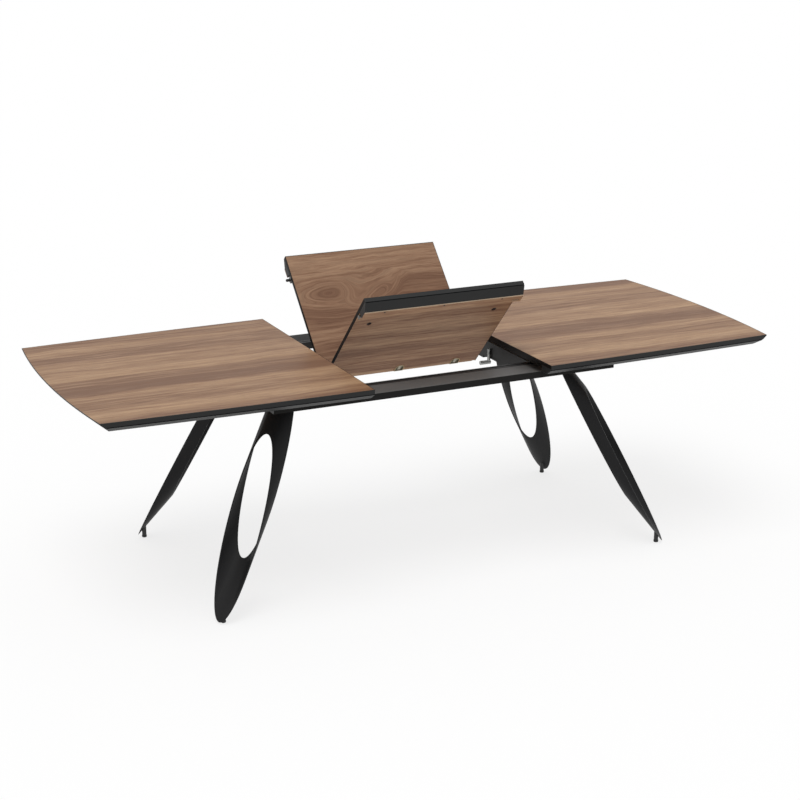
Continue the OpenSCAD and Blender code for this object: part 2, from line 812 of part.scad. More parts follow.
module above_leg_wall() {
    translate([leg_x, leg_y, leg_z]) rotate([0, -leg_tube_lean, leg_azimuth])
        translate([0, -far / 2, -far / 2]) cube([far, far, far]);
}

module glide_shoes() {
    color("black") for (end = [0, 1], side = [0, 1]) mirror([end, 0, 0]) mirror([0, side, 0])
        translate([glide_x, glide_y, 0]) cylinder(r = glide_r + 1, h = shoe_h, $fn = round_fn);
}

at_left() right_half() top_board();  // left_top_board
at_left() right_half() at_front() rear_moulding();  // left_front_moulding
at_left() right_half() rear_moulding();  // left_rear_moulding
at_left() right_half() end_moulding();  // left_end_moulding
at_left() right_half() inner_edge();  // left_inner_edge
at_left() right_half() at_front() slide_bar();  // left_front_slide_bar
at_left() right_half() slide_bar();  // left_rear_slide_bar
at_left() right_half() top_socket();  // left_top_socket
at_left() right_half() top_screws();  // left_top_screws
right_half() top_board();  // right_top_board
right_half() at_front() rear_moulding();  // right_front_moulding
right_half() rear_moulding();  // right_rear_moulding
right_half() end_moulding();  // right_end_moulding
right_half() inner_edge();  // right_inner_edge
right_half() at_front() slide_bar();  // right_front_slide_bar
right_half() slide_bar();  // right_rear_slide_bar
right_half() top_screws();  // right_top_screws
front_leaf() leaf_board(0);  // front_leaf_board
front_leaf() leaf_moulding();  // front_leaf_moulding
front_leaf() leaf_strip();  // front_leaf_strip
front_leaf() leaf_edging();  // front_leaf_edging
front_leaf() hinge_cups();  // front_hinge_cups
front_leaf() leaf_inserts();  // front_leaf_inserts
front_leaf() strip_screws();  // front_leaf_screws
front_leaf() corner_bracket();  // front_leaf_bracket
rear_leaf() leaf_board(arm_notch_l);  // rear_leaf_board
rear_leaf() leaf_moulding();  // rear_leaf_moulding
rear_leaf() leaf_strip();  // rear_leaf_strip
rear_leaf() leaf_edging();  // rear_leaf_edging
rear_leaf() hinge_cups();  // rear_hinge_cups
rear_leaf() leaf_inserts();  // rear_leaf_inserts
rear_leaf() strip_screws();  // rear_leaf_screws
rear_leaf() pin_block();  // rear_leaf_bracket
rear_leaf() leaf_pin();  // rear_leaf_pin
hinge_shaft();
at_left() swing_arm();  // left_swing_arm
swing_arm();  // right_swing_arm
at_front() rear_rail();  // front_rail
rear_rail();
rail_caps();  // rail_end_caps
at_front() guide_track();  // front_guide_track
guide_track();  // rear_guide_track
at_left() cross_beam();  // left_cross_beam
cross_beam();  // right_cross_beam
at_left() end_beam();  // left_end_beam
end_beam();  // right_end_beam
beam_bolts();
beam_screws();
at_left() arm_pivot();  // left_arm_pivot
arm_pivot();  // right_arm_pivot
union() {  // leaf_stop_stems
    stop_stem();
    at_left() stop_stem();
}
union() {  // leaf_stop_pegs
    stop_peg();
    at_left() stop_peg();
}
at_left() at_front() leg();  // front_left_leg
at_front() leg();  // front_right_leg
at_left() leg();  // rear_left_leg
leg();  // rear_right_leg
leg_plates();
leg_bolts();
glide_studs();
glide_shoes();
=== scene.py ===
import json
import math
import bpy
import bmesh
import numpy as np
from mathutils import Matrix, Vector

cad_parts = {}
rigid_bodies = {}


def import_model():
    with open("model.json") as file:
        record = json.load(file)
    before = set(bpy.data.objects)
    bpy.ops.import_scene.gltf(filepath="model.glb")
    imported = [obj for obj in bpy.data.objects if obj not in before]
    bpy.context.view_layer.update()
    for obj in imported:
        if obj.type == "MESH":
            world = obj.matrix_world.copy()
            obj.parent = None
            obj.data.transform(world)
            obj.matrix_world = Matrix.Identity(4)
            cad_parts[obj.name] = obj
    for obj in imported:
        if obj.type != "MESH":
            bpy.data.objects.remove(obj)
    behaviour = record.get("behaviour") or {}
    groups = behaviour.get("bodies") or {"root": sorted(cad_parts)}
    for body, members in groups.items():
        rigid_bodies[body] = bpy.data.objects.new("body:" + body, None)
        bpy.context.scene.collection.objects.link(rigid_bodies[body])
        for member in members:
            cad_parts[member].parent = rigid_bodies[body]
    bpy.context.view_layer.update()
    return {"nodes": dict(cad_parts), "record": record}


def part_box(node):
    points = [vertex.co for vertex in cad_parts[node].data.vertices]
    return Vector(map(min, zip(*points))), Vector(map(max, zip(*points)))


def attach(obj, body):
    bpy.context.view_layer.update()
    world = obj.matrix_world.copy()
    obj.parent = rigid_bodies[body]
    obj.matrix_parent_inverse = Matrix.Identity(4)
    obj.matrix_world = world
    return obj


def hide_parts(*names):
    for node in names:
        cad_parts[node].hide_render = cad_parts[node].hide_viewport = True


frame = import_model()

scene = bpy.context.scene
nodes = frame["nodes"]
slotOf = {part["node"]: part["material_slot"] for part in frame["record"]["subparts"]}
bodyOf = {node: body for body, group in frame["record"]["behaviour"]["bodies"].items() for node in group}
mm = 0.001

camera = {
    "place": (-2.6853, -5.5924, 2.4685),
    "turn": 0.447546,      # away from straight along +Y, to the right
    "dip": 0.301384,
    "roll": 0.004094,
    "lens": 80.868,
}
studio = {
    "ambient": 0.60,
    "backdrop": 1.0,
    "keyPower": 1.35,
    "keyAngle": math.radians(40),
    "keyFrom": (-0.30, -0.22, 0.93),
    "floorSize": 60.0,
    "floorTone": 0.24,     # share of the floor's white that its shadow can take away
}


def addNode(tree, kind, **values):
    node = tree.nodes.new(kind)
    for key, value in values.items():
        setattr(node, key, value)
    return node


def takenMesh(bm, name):
    mesh = bpy.data.meshes.new(name)
    bm.to_mesh(mesh)
    bm.free()
    return mesh


def placeCamera():
    data = bpy.data.cameras.new("tableCamera")
    data.lens = camera["lens"]
    data.sensor_width = 36.0
    data.clip_end = 100.0
    obj = bpy.data.objects.new("tableCamera", data)
    scene.collection.objects.link(obj)
    turn = Matrix.Rotation(-camera["turn"], 4, "Z") @ Matrix.Rotation(math.pi / 2 - camera["dip"], 4, "X")
    obj.matrix_world = Matrix.Translation(camera["place"]) @ turn @ Matrix.Rotation(camera["roll"], 4, "Z")
    scene.camera = obj


def sunLamp(name, fromSide, angle, power):
    data = bpy.data.lights.new(name, "SUN")
    data.angle = angle
    data.energy = power
    obj = bpy.data.objects.new(name, data)
    scene.collection.objects.link(obj)
    aim = (-Vector(fromSide)).to_track_quat("-Z", "Y").to_matrix().to_4x4()
    obj.matrix_world = Matrix.Translation(Vector(fromSide) * 6) @ aim


def seenRay(tree):
    path = addNode(tree, "ShaderNodeLightPath")
    direct = addNode(tree, "ShaderNodeMath", operation="ADD", use_clamp=True)
    anySight = addNode(tree, "ShaderNodeMath", operation="ADD", use_clamp=True)
    tree.links.new(path.outputs["Is Camera Ray"], direct.inputs[0])
    tree.links.new(path.outputs["Is Glossy Ray"], direct.inputs[1])
    tree.links.new(direct.outputs[0], anySight.inputs[0])
    tree.links.new(path.outputs["Is Transmission Ray"], anySight.inputs[1])
    return anySight.outputs[0]


def makeSky():
    world = bpy.data.worlds.new("paleStudio")
    scene.world = world
    world.use_nodes = True
    tree = world.node_tree
    tree.nodes.clear()
    level = addNode(tree, "ShaderNodeMapRange")
    tree.links.new(seenRay(tree), level.inputs["Value"])
    level.inputs["To Min"].default_value = studio["ambient"]
    level.inputs["To Max"].default_value = studio["backdrop"]
    sky = addNode(tree, "ShaderNodeBackground")
    sky.inputs["Color"].default_value = (1, 1, 1, 1)
    tree.links.new(level.outputs[0], sky.inputs["Strength"])
    out = addNode(tree, "ShaderNodeOutputWorld")
    tree.links.new(sky.outputs[0], out.inputs["Surface"])
    sunLamp("keyLamp", studio["keyFrom"], studio["keyAngle"], studio["keyPower"])


def makeFloor():
    bm = bmesh.new()
    bmesh.ops.create_grid(bm, x_segments=1, y_segments=1, size=studio["floorSize"] / 2)
    mesh = takenMesh(bm, "paleFloor")
    floor = bpy.data.objects.new("paleFloor", mesh)
    scene.collection.objects.link(floor)
    mat = bpy.data.materials.new("paleFloor")
    mat.use_nodes = True
    tree = mat.node_tree
    tree.nodes.clear()
    plain = addNode(tree, "ShaderNodeBsdfDiffuse")
    plain.inputs["Color"].default_value = (0.88, 0.88, 0.88, 1)
    tone = studio["floorTone"]
    matte = addNode(tree, "ShaderNodeBsdfDiffuse")
    matte.inputs["Color"].default_value = (tone, tone, tone, 1)
    glow = addNode(tree, "ShaderNodeEmission")
    glow.inputs["Strength"].default_value = 1 - tone
    shown = addNode(tree, "ShaderNodeAddShader")
    tree.links.new(matte.outputs[0], shown.inputs[0])
    tree.links.new(glow.outputs[0], shown.inputs[1])
    mix = addNode(tree, "ShaderNodeMixShader")
    tree.links.new(seenRay(tree), mix.inputs["Fac"])
    tree.links.new(plain.outputs[0], mix.inputs[1])
    tree.links.new(shown.outputs[0], mix.inputs[2])
    out = addNode(tree, "ShaderNodeOutputMaterial")
    tree.links.new(mix.outputs[0], out.inputs["Surface"])
    mesh.materials.append(mat)


placeCamera()
makeSky()
makeFloor()
scene.view_settings.view_transform = "Standard"
print("studio ready")


def newGroup(name, ins, outs):
    group = bpy.data.node_groups.new(name, "ShaderNodeTree")
    for label, kind, value in ins:
        socket = group.interface.new_socket(name=label, in_out="INPUT", socket_type=kind)
        if value is not None:
            socket.default_value = value
    for label, kind in outs:
        group.interface.new_socket(name=label, in_out="OUTPUT", socket_type=kind)
    return group, addNode(group, "NodeGroupInput").outputs, addNode(group, "NodeGroupOutput").inputs


def feed(tree, value, socket):
    if isinstance(value, (int, float)):
        socket.default_value = value
    else:
        tree.links.new(value, socket)


def calc(tree, operation, a, b=None, clamp=False):
    node = addNode(tree, "ShaderNodeMath", operation=operation, use_clamp=clamp)
    feed(tree, a, node.inputs[0])
    if b is not None:
        feed(tree, b, node.inputs[1])
    return node.outputs[0]


def mapped(tree, value, low, high, toLow=0.0, toHigh=1.0):
    node = addNode(tree, "ShaderNodeMapRange")
    node.inputs["From Min"].default_value = low
    node.inputs["From Max"].default_value = high
    node.inputs["To Min"].default_value = toLow
    node.inputs["To Max"].default_value = toHigh
    tree.links.new(value, node.inputs["Value"])
    return node.outputs[0]


def stretched(tree, x, y, seed, alongX, acrossY, detail=2.0, rough=0.5):
    place = addNode(tree, "ShaderNodeCombineXYZ")
    feed(tree, calc(tree, "MULTIPLY", x, alongX), place.inputs[0])
    feed(tree, calc(tree, "MULTIPLY", y, acrossY), place.inputs[1])
    feed(tree, seed, place.inputs[2])
    noise = addNode(tree, "ShaderNodeTexNoise")
    noise.inputs["Scale"].default_value = 1.0
    noise.inputs["Detail"].default_value = detail
    noise.inputs["Roughness"].default_value = rough
    tree.links.new(place.outputs[0], noise.inputs["Vector"])
    return calc(tree, "SUBTRACT", noise.outputs["Fac"], 0.5)


figureLook = {
    "slow": (1.6, 5.0),      # how often the sway turns, along and across, per metre
    "quick": (8.0, 18.0),
    "quickShare": 0.3,
    "eyeStretch": 2.6,       # an eye is this much longer than it is wide
    "eyeRings": 1.3,
}


def figureGroup():
    ins = [("Vector", "NodeSocketVector", None), ("Seed", "NodeSocketFloat", 0.0),
           ("Sway", "NodeSocketFloat", 0.03), ("Eye Depth", "NodeSocketFloat", 0.0),
           ("Eye A", "NodeSocketVector", (0, 0, 0)), ("Eye B", "NodeSocketVector", (0, 0, 0))]
    outs = [("Along", "NodeSocketFloat"), ("Across", "NodeSocketFloat"), ("Eye", "NodeSocketFloat")]
    tree, gin, gout = newGroup("veneerFigure", ins, outs)
    split = addNode(tree, "ShaderNodeSeparateXYZ")
    tree.links.new(gin["Vector"], split.inputs[0])
    x, y = split.outputs[0], split.outputs[1]
    slow = stretched(tree, x, y, gin["Seed"], *figureLook["slow"])
    quick = stretched(tree, x, y, gin["Seed"], *figureLook["quick"])
    sway = calc(tree, "ADD", slow, calc(tree, "MULTIPLY", quick, figureLook["quickShare"]))
    across = calc(tree, "ADD", y, calc(tree, "MULTIPLY", sway, gin["Sway"]))
    eyes = None
    for label in ("Eye A", "Eye B"):      # an eye's vector is its place along, across, and its radius
        eye = addNode(tree, "ShaderNodeSeparateXYZ")
        tree.links.new(gin[label], eye.inputs[0])
        dx = calc(tree, "DIVIDE", calc(tree, "SUBTRACT", x, eye.outputs[0]), figureLook["eyeStretch"])
        dy = calc(tree, "SUBTRACT", across, eye.outputs[1])
        far = calc(tree, "SQRT", calc(tree, "ADD", calc(tree, "MULTIPLY", dx, dx), calc(tree, "MULTIPLY", dy, dy)))
        near = calc(tree, "DIVIDE", far, calc(tree, "ADD", eye.outputs[2], 0.0001))
        weight = calc(tree, "MULTIPLY", mapped(tree, near, 1.0, 0.3), gin["Eye Depth"], True)
        ring = calc(tree, "ADD", eye.outputs[1], calc(tree, "MULTIPLY", far, figureLook["eyeRings"]))
        across = calc(tree, "ADD", across, calc(tree, "MULTIPLY", calc(tree, "SUBTRACT", ring, across), weight))
        eyes = weight if eyes is None else calc(tree, "MAXIMUM", eyes, weight)
    tree.links.new(x, gout["Along"])
    tree.links.new(across, gout["Across"])
    tree.links.new(eyes, gout["Eye"])
    return tree


veneer = {      # the three tones of the ramp and the pores
    "dark": (0.200, 0.112, 0.074, 1),
    "middle": (0.315, 0.196, 0.130, 1),
    "light": (0.468, 0.318, 0.216, 1),
    "pore": (0.100, 0.054, 0.036, 1),
    "broad": 1.00,         # how far each layer of the grain moves the tone
    "streak": 0.95,
    "lines": 1.35,
    "fine": 0.35,
    "growthDark": 0.8,
    "growth": (0.0, 0.016, 0.36, 0.0),      # from a layer's range to how much it darkens
    "thin": (0.04, 0.15, 0.0, 0.36),
    "poreMask": (0.15, 0.24, 0.0, 0.40),
    "rough": (-0.2, 0.2, 0.50, 0.42),
}
grainLayers = {      # shift of the seed, how often it turns along and across per metre, detail, roughness
    "broad": (2.3, 0.5, 16.0, 2.0, 0.5),
    "streak": (5.1, 3.2, 64.0, 3.0, 0.65),
    "lines": (9.7, 8.0, 190.0, 2.0, 0.6),
    "fine": (7.9, 9.0, 900.0, 2.0, 0.6),
    "pores": (3.9, 45.0, 1700.0, 1.0, 0.5),
}


def walnutGroup():
    ins = [("Along", "NodeSocketFloat", 0.0), ("Across", "NodeSocketFloat", 0.0),
           ("Tone", "NodeSocketFloat", 0.5), ("Seed", "NodeSocketFloat", 0.0), ("Force", "NodeSocketFloat", 1.0)]
    outs = [("Color", "NodeSocketColor"), ("Height", "NodeSocketFloat"), ("Roughness", "NodeSocketFloat")]
    tree, gin, gout = newGroup("walnutGrain", ins, outs)
    along, across, seed = gin["Along"], gin["Across"], gin["Seed"]
    layer = {name: stretched(tree, along, across, calc(tree, "ADD", seed, shift), *turns)
             for name, (shift, *turns) in grainLayers.items()}
    moves = calc(tree, "MULTIPLY", layer["broad"], veneer["broad"])
    for name in ("streak", "lines", "fine"):
        moves = calc(tree, "ADD", moves, calc(tree, "MULTIPLY", layer[name], veneer[name]))
    tone = calc(tree, "ADD", gin["Tone"], calc(tree, "MULTIPLY", moves, gin["Force"]))
    ramp = addNode(tree, "ShaderNodeValToRGB")
    ramp.color_ramp.elements[0].color = veneer["dark"]
    ramp.color_ramp.elements[1].color = veneer["light"]
    ramp.color_ramp.elements.new(0.5).color = veneer["middle"]
    tree.links.new(tone, ramp.inputs[0])
    growth = mapped(tree, calc(tree, "ABSOLUTE", layer["streak"]), *veneer["growth"])
    thin = mapped(tree, layer["lines"], *veneer["thin"])
    dark = calc(tree, "MAXIMUM", calc(tree, "MULTIPLY", growth, veneer["growthDark"]), thin)
    poreMask = mapped(tree, layer["pores"], *veneer["poreMask"])
    stain = addNode(tree, "ShaderNodeMix", data_type="RGBA")
    tree.links.new(calc(tree, "MAXIMUM", dark, poreMask), stain.inputs[0])
    tree.links.new(ramp.outputs[0], stain.inputs[6])
    stain.inputs[7].default_value = veneer["pore"]
    tree.links.new(stain.outputs[2], gout["Color"])
    tree.links.new(calc(tree, "SUBTRACT", calc(tree, "MULTIPLY", layer["fine"], 0.8), poreMask), gout["Height"])
    tree.links.new(mapped(tree, layer["streak"], *veneer["rough"]), gout["Roughness"])
    return tree


def speckleGroup():
    ins = [("Color", "NodeSocketColor", (0.03, 0.03, 0.03, 1)), ("Scale", "NodeSocketFloat", 900.0),
           ("Amount", "NodeSocketFloat", 0.12), ("Roughness", "NodeSocketFloat", 0.5)]
    outs = [("Color", "NodeSocketColor"), ("Height", "NodeSocketFloat"), ("Roughness", "NodeSocketFloat")]
    tree, gin, gout = newGroup("coatSpeckle", ins, outs)
    coords = addNode(tree, "ShaderNodeTexCoord")
    grit = addNode(tree, "ShaderNodeTexNoise")
    grit.inputs["Detail"].default_value = 3.0
    tree.links.new(coords.outputs["Object"], grit.inputs["Vector"])
    tree.links.new(gin["Scale"], grit.inputs["Scale"])
    cloud = addNode(tree, "ShaderNodeTexNoise")
    cloud.inputs["Detail"].default_value = 2.0
    cloud.inputs["Scale"].default_value = 7.0
    tree.links.new(coords.outputs["Object"], cloud.inputs["Vector"])
    both = calc(tree, "SUBTRACT", calc(tree, "ADD", grit.outputs["Fac"], cloud.outputs["Fac"]), 1.0)
    offset = calc(tree, "MULTIPLY", both, gin["Amount"])
    scaled = addNode(tree, "ShaderNodeVectorMath", operation="SCALE")
    tree.links.new(gin["Color"], scaled.inputs[0])
    tree.links.new(calc(tree, "ADD", calc(tree, "MULTIPLY", offset, 3.0), 1.0), scaled.inputs["Scale"])
    tree.links.new(scaled.outputs[0], gout["Color"])
    tree.links.new(grit.outputs["Fac"], gout["Height"])
    tree.links.new(calc(tree, "ADD", gin["Roughness"], offset, True), gout["Roughness"])
    return tree


figure = figureGroup()
walnut = walnutGroup()
speckle = speckleGroup()


def startMaterial(name):
    mat = bpy.data.materials.new(name)
    mat.use_nodes = True
    tree = mat.node_tree
    tree.nodes.clear()
    shader = addNode(tree, "ShaderNodeBsdfPrincipled")
    out = addNode(tree, "ShaderNodeOutputMaterial")
    tree.links.new(shader.outputs[0], out.inputs["Surface"])
    return mat, tree, shader


def addBump(tree, shader, height, strength, distance):
    bump = addNode(tree, "ShaderNodeBump")
    bump.inputs["Strength"].default_value = strength
    bump.inputs["Distance"].default_value = distance
    tree.links.new(height, bump.inputs["Height"])
    tree.links.new(bump.outputs[0], shader.inputs["Normal"])


eyeDark = 0.07      # how much darker an eye's middle is


def veneerMaterial(name, look):
    mat, tree, shader = startMaterial(name)
    coords = addNode(tree, "ShaderNodeTexCoord")
    lift = addNode(tree, "ShaderNodeMapping")
    lift.inputs["Location"].default_value = (0, 0, -look.get("lift", 0.0))
    lay = addNode(tree, "ShaderNodeMapping")
    lay.inputs["Rotation"].default_value = (look.get("tilt", 0.0), 0, 0)
    tree.links.new(coords.outputs["Object"], lift.inputs["Vector"])
    tree.links.new(lift.outputs[0], lay.inputs["Vector"])
    shape = addNode(tree, "ShaderNodeGroup", node_tree=figure)
    shape.inputs["Seed"].default_value = look["seed"]
    shape.inputs["Sway"].default_value = look["sway"]
    if "eyes" in look:
        shape.inputs["Eye Depth"].default_value = 1.0
        shape.inputs["Eye A"].default_value = look["eyes"][0]
        shape.inputs["Eye B"].default_value = look["eyes"][1]
    tree.links.new(lay.outputs[0], shape.inputs["Vector"])
    bands = addNode(tree, "ShaderNodeValToRGB")
    stops = look["bands"]
    for element, (at, tone) in zip(list(bands.color_ramp.elements), (stops[0], stops[-1])):
        element.position = at
        element.color = (tone, tone, tone, 1)
    for at, tone in stops[1:-1]:
        bands.color_ramp.elements.new(at).color = (tone, tone, tone, 1)
    tree.links.new(mapped(tree, shape.outputs["Across"], *look["span"]), bands.inputs[0])
    tone = calc(tree, "SUBTRACT", bands.outputs[0], calc(tree, "MULTIPLY", shape.outputs["Eye"], eyeDark))
    grain = addNode(tree, "ShaderNodeGroup", node_tree=walnut)
    grain.inputs["Seed"].default_value = look["seed"]
    grain.inputs["Force"].default_value = look["force"]
    tree.links.new(shape.outputs["Along"], grain.inputs["Along"])
    tree.links.new(shape.outputs["Across"], grain.inputs["Across"])
    tree.links.new(tone, grain.inputs["Tone"])
    deep = addNode(tree, "ShaderNodeMix", data_type="RGBA", blend_type="MULTIPLY")
    deep.inputs[0].default_value = 1.0
    tree.links.new(grain.outputs["Color"], deep.inputs[6])
    deep.inputs[7].default_value = (*look.get("stain", (1, 1, 1)), 1)
    tree.links.new(deep.outputs[2], shader.inputs["Base Color"])
    tree.links.new(grain.outputs["Roughness"], shader.inputs["Roughness"])
    shader.inputs["Specular IOR Level"].default_value = 0.12
    addBump(tree, shader, grain.outputs["Height"], 0.25, 0.0002)
    return mat


def coatMaterial(name, colour, rough, scale=900.0, amount=0.12, metallic=0.0, spec=0.5, bump=0.2):
    mat, tree, shader = startMaterial(name)
    group = addNode(tree, "ShaderNodeGroup", node_tree=speckle)
    group.inputs["Color"].default_value = (*colour, 1)
    group.inputs["Scale"].default_value = scale
    group.inputs["Amount"].default_value = amount
    group.inputs["Roughness"].default_value = rough
    tree.links.new(group.outputs["Color"], shader.inputs["Base Color"])
    tree.links.new(group.outputs["Roughness"], shader.inputs["Roughness"])
    shader.inputs["Metallic"].default_value = metallic
    shader.inputs["Specular IOR Level"].default_value = spec
    addBump(tree, shader, group.outputs["Height"], bump, 0.0001)
    return mat


leaf = {"hingeZ": 0.664, "fold": math.radians(46.5)}
topLook = {
    "seed": 0.0, "sway": 0.052, "force": 1.45, "stain": (0.92, 0.84, 0.71), "span": (-0.5, 0.5),
    "bands": ((0.02, 0.10), (0.06, 0.50), (0.10, 1.00), (0.15, 0.88), (0.19, 0.52), (0.24, 0.50), (0.30, 0.85),
              (0.335, 0.35), (0.38, 0.05), (0.43, 0.15), (0.494, 0.35), (0.505, 0.92), (0.57, 0.72), (0.66, 0.66),
              (0.71, 0.45), (0.78, 0.35), (0.83, 0.55), (0.87, 0.70), (0.91, 0.50), (0.95, 0.15)),
}
frontLeafLook = {
    "seed": 11.0, "sway": 0.050, "force": 1.60, "span": (0.0, -0.5), "tilt": leaf["fold"], "lift": leaf["hingeZ"],
    "stain": (1.0, 0.91, 0.82),
    "bands": ((0.0, 0.70), (0.12, 0.45), (0.22, 0.65), (0.30, 0.40), (0.40, 0.72), (0.50, 0.28), (0.56, 0.60),
              (0.66, 0.75), (0.74, 0.38), (0.83, 0.90), (0.95, 0.85)),
}
rearLeafLook = {
    "seed": 23.0, "sway": 0.055, "force": 1.35, "span": (0.0, 0.5), "tilt": -leaf["fold"], "lift": leaf["hingeZ"],
    "stain": (0.83, 0.765, 0.715), "eyes": ((-0.178, 0.338, 0.115), (0.012, 0.366, 0.056)),
    "bands": ((0.0, 0.45), (0.20, 0.30), (0.38, 0.48), (0.50, 0.22), (0.60, 0.42), (0.70, 0.34), (0.78, 0.55),
              (0.90, 0.72), (1.0, 0.60)),
}
topVeneer = veneerMaterial("topVeneer", topLook)
frontLeafVeneer = veneerMaterial("frontLeafVeneer", frontLeafLook)
rearLeafVeneer = veneerMaterial("rearLeafVeneer", rearLeafLook)
mouldingLacquer = coatMaterial("mouldingLacquer", (0.013, 0.0135, 0.0135), 0.48, 500.0, 0.06, spec=0.28)
# painted shade: near-black for the shadow that falls in the mouldings' groove
grooveBlack = coatMaterial("grooveBlack", (0.003, 0.0035, 0.004), 0.6, 500.0, 0.06, spec=0.1)
edgeBanding = coatMaterial("edgeBanding", (0.0045, 0.0035, 0.003), 0.5, 700.0, 0.12, spec=0.1)
legCoat = coatMaterial("legPowderCoat", (0.0085, 0.0085, 0.009), 0.5, 1200.0, 0.08, spec=0.2, bump=0.35)
# painted light: the front rail's top reads lighter than its sides in the photograph, so its upward faces get this
# lit copy of the rail coat, and the sides keep the darker copy as painted shade
railTopCoat = coatMaterial("railTopCoat", (0.112, 0.109, 0.106), 0.52, 1200.0, 0.10, spec=0.16, bump=0.35)
railCoatAndPaintedShade = coatMaterial("railPowderCoat", (0.014, 0.0135, 0.013), 0.55, 1200.0, 0.10, spec=0.08, bump=0.35)
beamCoat = coatMaterial("beamPowderCoat", (0.013, 0.0125, 0.012), 0.55, 1200.0, 0.08, spec=0.28, bump=0.35)
blackSteel = coatMaterial("blackSteel", (0.012, 0.012, 0.012), 0.4, 900.0, 0.08)
blackPlastic = coatMaterial("blackPlastic", (0.010, 0.010, 0.010), 0.55, 900.0, 0.10)
zincPlate = coatMaterial("zincPlate", (0.62, 0.61, 0.58), 0.34, 400.0, 0.10, metallic=1.0)
stopZinc = coatMaterial("stopZinc", (0.34, 0.34, 0.33), 0.40, 400.0, 0.12, metallic=1.0)
bracketSteel = coatMaterial("bracketSteel", (0.24, 0.24, 0.235), 0.5, 500.0, 0.12, metallic=0.9)
insertBrown = coatMaterial("insertBrown", (0.018, 0.008, 0.006), 0.55, 900.0, 0.10, spec=0.3)
# pale core of a leaf's strip, which also stands as a painted highlight along its outer edge
stripCore = coatMaterial("stripCore", (0.46, 0.35, 0.25), 0.7, 260.0, 0.10, spec=0.2)
cupBrass = coatMaterial("cupBrass", (0.46, 0.33, 0.17), 0.38, 500.0, 0.12, metallic=1.0)
cupSteel = coatMaterial("cupSteel", (0.43, 0.40, 0.33), 0.45, 500.0, 0.12, metallic=1.0)
print("materials ready")

finishes = {
    "veneer": topVeneer,
    "moulding_lacquer": mouldingLacquer,
    "edge_banding": edgeBanding,
    "leg_steel": legCoat,
    "rail_steel": railCoatAndPaintedShade,
    "black_steel": blackSteel,
    "black_plastic": blackPlastic,
    "zinc": zincPlate,
}
ownFinish = {
    "front_leaf_board": frontLeafVeneer,
    "front_leaf_strip": frontLeafVeneer,
    "rear_leaf_board": rearLeafVeneer,
    "rear_leaf_strip": rearLeafVeneer,
    "left_cross_beam": beamCoat,
    "right_cross_beam": beamCoat,
    "left_end_beam": beamCoat,
    "right_end_beam": beamCoat,
    "leaf_stop_stems": stopZinc,
    "leaf_stop_pegs": stopZinc,
    "beam_screws": blackSteel,
    "front_leaf_bracket": bracketSteel,
    "rear_leaf_bracket": bracketSteel,
    "front_leaf_inserts": insertBrown,
    "rear_leaf_inserts": insertBrown,
}


def finishOf(node):
    return ownFinish.get(node, finishes[slotOf[node]])


def pieceName(node):
    first, *rest = node.split("_")
    return first + "".join(word.capitalize() for word in rest)


def addPiece(bm, node, materials=None):
    name = pieceName(node)
    mesh = takenMesh(bm, name)
    for finish in materials or [finishOf(node)]:
        mesh.materials.append(finish)
    obj = bpy.data.objects.new(name, mesh)
    scene.collection.objects.link(obj)
    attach(obj, bodyOf[node])
    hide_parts(node)


sameCorner = 0.000001      # metres: corners nearer than this are one
sameCadCorner = 0.000005   # the same in a solid of the frame
samePlane = 0.001          # radians: faces that meet flatter than this are one


def copied(node):
    bm = bmesh.new()
    bm.from_mesh(nodes[node].data)
    bmesh.ops.remove_doubles(bm, verts=bm.verts, dist=sameCadCorner)
    bmesh.ops.dissolve_limit(bm, angle_limit=samePlane, verts=bm.verts, edges=bm.edges)
    return bm


softLimit = math.radians(28)      # facets that meet flatter than this are one curved face
flatLimit = 0.0005                # radians: and flatter than this, a plane one


def soften(bm, width, segments=2, above=None):
    for face in bm.faces:
        face.smooth = False
        face.material_index = 0
    sharp = []
    for edge in bm.edges:
        if len(edge.link_faces) != 2:
            edge.smooth = False
            continue
        angle = edge.calc_face_angle(0)
        edge.smooth = angle < softLimit
        if flatLimit < angle < softLimit:
            for face in edge.link_faces:
                face.smooth = True
        if angle >= softLimit and (above is None or min(v.co.z for v in edge.verts) > above):
            sharp.append(edge)
    made = bmesh.ops.bevel(bm, geom=sharp, offset=width, offset_type="OFFSET", affect="EDGES", segments=segments,
                           profile=0.5, material=-1, clamp_overlap=True, loop_slide=True)
    rounded = set(made["faces"])
    for face in rounded:
        face.smooth = True
        for edge in face.edges:
            edge.smooth = all(other in rounded for other in edge.link_faces)
    return bm


softEdges = {      # node, or the end of several nodes' names: rounding of its edges in mm
    "_moulding": 0.8,
    "_inner_edge": 0.3,
    "_slide_bar": 0.6,
    "_top_socket": 0.8,
    "_leaf_board": 0.3,
    "_leaf_strip": 0.3,
    "_leaf_edging": 0.2,
    "_leaf_bracket": 0.4,
    "_swing_arm": 0.6,
    "_rail": 1.6,
    "rail_end_caps": 0.8,
    "_guide_track": 0.5,
    "_cross_beam": 0.7,
    "_end_beam": 1.2,
    "_arm_pivot": 0.5,
    "_leg": 0.7,
    "leg_plates": 0.8,
}
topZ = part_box("left_top_board")[1][2]
# depth band of the groove faces that get the black painted shade
grooveShadePaint = (15.3, 18.7)      # mm below the top
grooveAlong = 0.9               # faces that look along X more than this are a moulding's cut ends
# the outward faces of a leaf's strip show its pale core, which is also a painted highlight along the edge
stripCoreHighlightFacing = 0.5              # faces of a leaf's strip that look outwards more than this show its core
# painted light: faces of the front rail that look up more than this get the lit copy of its coat
railTopPaintedLightTilt = 0.3               # upward faces of the front rail above this normal get the lighter coat
boardEdge = 0.3                 # mm, rounding of the upper edges of the top boards


def leafDown(side):      # the way that a leaf panel's underside faces, for the front (-1) or rear (1) one
    return Matrix.Rotation(side * leaf["fold"], 3, "X") @ Vector((0, 0, -1))


def facingDown(node):
    if "_leaf_" not in node:
        return Vector((0, 0, -1))
    return leafDown(-1 if node.startswith("front") else 1)


